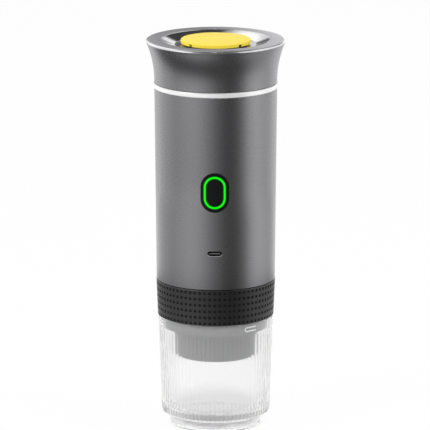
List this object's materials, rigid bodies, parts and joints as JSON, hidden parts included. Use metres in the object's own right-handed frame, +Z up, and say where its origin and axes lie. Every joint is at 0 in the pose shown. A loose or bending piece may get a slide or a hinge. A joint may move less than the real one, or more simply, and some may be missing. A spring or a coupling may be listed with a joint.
{
  "type": "portable coffee maker",
  "caption": "Slim upright battery coffee maker: flared lid with a vent cap, metal body with a lit push button and charging socket, dimpled grip, screw-on brew head and clear fluted cup.",
  "frame": {"origin": "centre of the cup's foot, on the surface the coffee maker stands on", "axes": "+Z up along the common axis of all turned pieces, -Y out of the front with the button and the charging socket, +X to the right seen from the front"},
  "size_m": [0.0862, 0.0862, 0.2436],
  "materials": {
    "gunmetal": "fine satin anodised",
    "bright_metal": "polished",
    "steel": "drawn steel",
    "plain_aluminium": "cast",
    "cell_sleeve": "shrink sleeve over a metal can",
    "clear_cup": "clear moulded",
    "grey_moulding": "fine moulded",
    "dark_moulding": "moulded",
    "black_moulding": "satin moulded",
    "green_light": "lit light guide",
    "board_green": "solder resist",
    "grip_rubber": "matte, dimpled",
    "seal_rubber": "food-grade silicone",
    "clear_silicone": "milky silicone",
    "black_silicone": "matte silicone",
    "yellow_silicone": "matte silicone"
  },
  "bodies": {
    "cup": {"cup": "clear_cup"},
    "cup_seal": {"cup_seal": "seal_rubber"},
    "brew_head": {"brew_chamber": "grey_moulding", "grip_ring": "grip_rubber", "filter_basket": "steel", "outlet_nozzle": "dark_moulding"},
    "group_gasket": {"group_gasket": "seal_rubber"},
    "main_body": {"group_head": "dark_moulding", "shower_plate": "steel", "shower_screw": "steel", "main_housing": "gunmetal", "trim_ring": "bright_metal", "neck_ring": "dark_moulding", "tank_gasket": "seal_rubber", "water_tank": "steel", "tank_outlet": "steel", "heater_plate": "plain_aluminium", "thermal_fuse": "dark_moulding", "chassis_base": "dark_moulding", "tank_cradle": "dark_moulding", "frame_screws": "steel", "battery_cells": "cell_sleeve", "pump_head": "dark_moulding", "pump_motor": "steel", "suction_hose": "clear_silicone", "control_board": "board_green", "button_switch": "dark_moulding", "light_ring": "green_light", "button_bezel": "black_moulding", "usb_shell": "steel", "usb_tongue": "dark_moulding", "usb_board": "board_green"},
    "lid_seal": {"lid_seal": "seal_rubber"},
    "lid": {"lid_shell": "gunmetal", "lid_dish": "bright_metal", "lid_liner": "dark_moulding"},
    "vent_stopper": {"vent_cap": "yellow_silicone", "vent_valve": "black_silicone"},
    "button": {"button_cap": "black_moulding", "switch_plunger": "dark_moulding"},
    "pump_cam": {"drive_cam": "steel"}
  },
  "joints": [
    {"name": "cup_lift", "type": "slide", "parent": "cup", "child": "cup_seal", "axis": [0, 0, 1], "range_m": [0, 0.02701]},
    {"name": "cup_turn", "type": "hinge", "parent": "cup_seal", "child": "brew_head", "pos_m": [0, 0, 0], "axis": [0, 0, 1], "range_deg": [0, 202.5]},
    {"name": "head_lift", "type": "slide", "parent": "brew_head", "child": "group_gasket", "axis": [0, 0, 1], "range_m": [0, 0.01201]},
    {"name": "head_turn", "type": "hinge", "parent": "group_gasket", "child": "main_body", "pos_m": [0, 0, 0], "axis": [0, 0, 1], "range_deg": [0, 360]},
    {"name": "lid_lift", "type": "slide", "parent": "main_body", "child": "lid_seal", "axis": [0, 0, 1], "range_m": [0, 0.01001]},
    {"name": "lid_turn", "type": "hinge", "parent": "lid_seal", "child": "lid", "pos_m": [0, 0, 0], "axis": [0, 0, 1], "range_deg": [0, 375]},
    {"name": "vent_cap_lift", "type": "slide", "parent": "lid", "child": "vent_stopper", "axis": [0, 0, 1], "range_m": [0, 0.016]},
    {"name": "button_press", "type": "slide", "parent": "main_body", "child": "button", "axis": [0, 1, 0], "range_m": [0, 0.001], "stiffness_N_per_m": 400, "springref_m": -0.001},
    {"name": "cam_spin", "type": "hinge", "parent": "main_body", "child": "pump_cam", "pos_m": [0, 0, 0.11], "axis": [0, 0, 1], "continuous": true}
  ],
  "couplings": [
    {"joint": "cup_lift", "follows": "cup_turn", "m_per_rad": 0.0076394},
    {"joint": "head_lift", "follows": "head_turn", "m_per_rad": 0.0019099},
    {"joint": "lid_lift", "follows": "lid_turn", "m_per_rad": 0.0015279}
  ]
}
